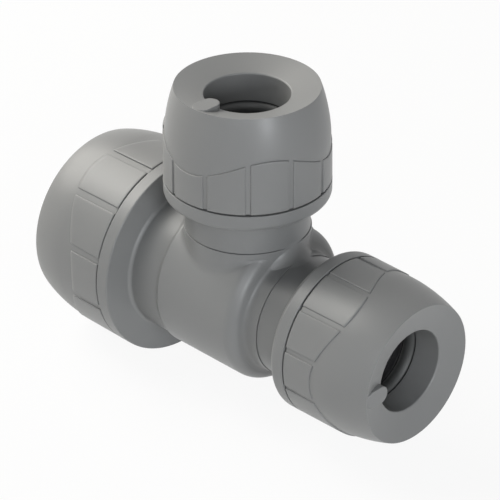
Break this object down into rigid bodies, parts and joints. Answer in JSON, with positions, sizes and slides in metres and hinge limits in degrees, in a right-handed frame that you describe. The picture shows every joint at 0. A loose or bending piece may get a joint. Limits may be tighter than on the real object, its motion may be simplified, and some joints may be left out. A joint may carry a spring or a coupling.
{
  "type": "push-fit reducing tee",
  "caption": "Grey plastic push-fit reducing tee with a large and a small run socket and a small branch socket, each closed by a domed screwed cap with grip panels.",
  "frame": {"origin": "crossing of the centre-lines of the run and the branch", "axes": "+X along the run towards the small run socket, -X towards the large run socket, +Z along the branch towards its open end, XZ is the plane of symmetry of the body"},
  "size_m": [0.0811, 0.039, 0.0615],
  "materials": {
    "grey_body": "satin moulded plastic",
    "grey_cap": "satin moulded plastic",
    "dark_washer": "matt moulded plastic",
    "seal_rubber": "smooth rubber with a film of silicone grease",
    "spring_steel": "stamped stainless steel"
  },
  "bodies": {
    "root": {"tee_body": "grey_body", "branch_cap": "grey_cap", "branch_seal": "seal_rubber", "branch_spacer_washer": "dark_washer", "branch_grab_ring": "spring_steel", "run_cap": "grey_cap", "run_seal": "seal_rubber", "run_spacer_washer": "dark_washer", "run_grab_ring": "spring_steel", "large_cap": "grey_cap", "large_seal": "seal_rubber", "large_spacer_washer": "dark_washer", "large_grab_ring": "spring_steel"}
  },
  "joints": []
}
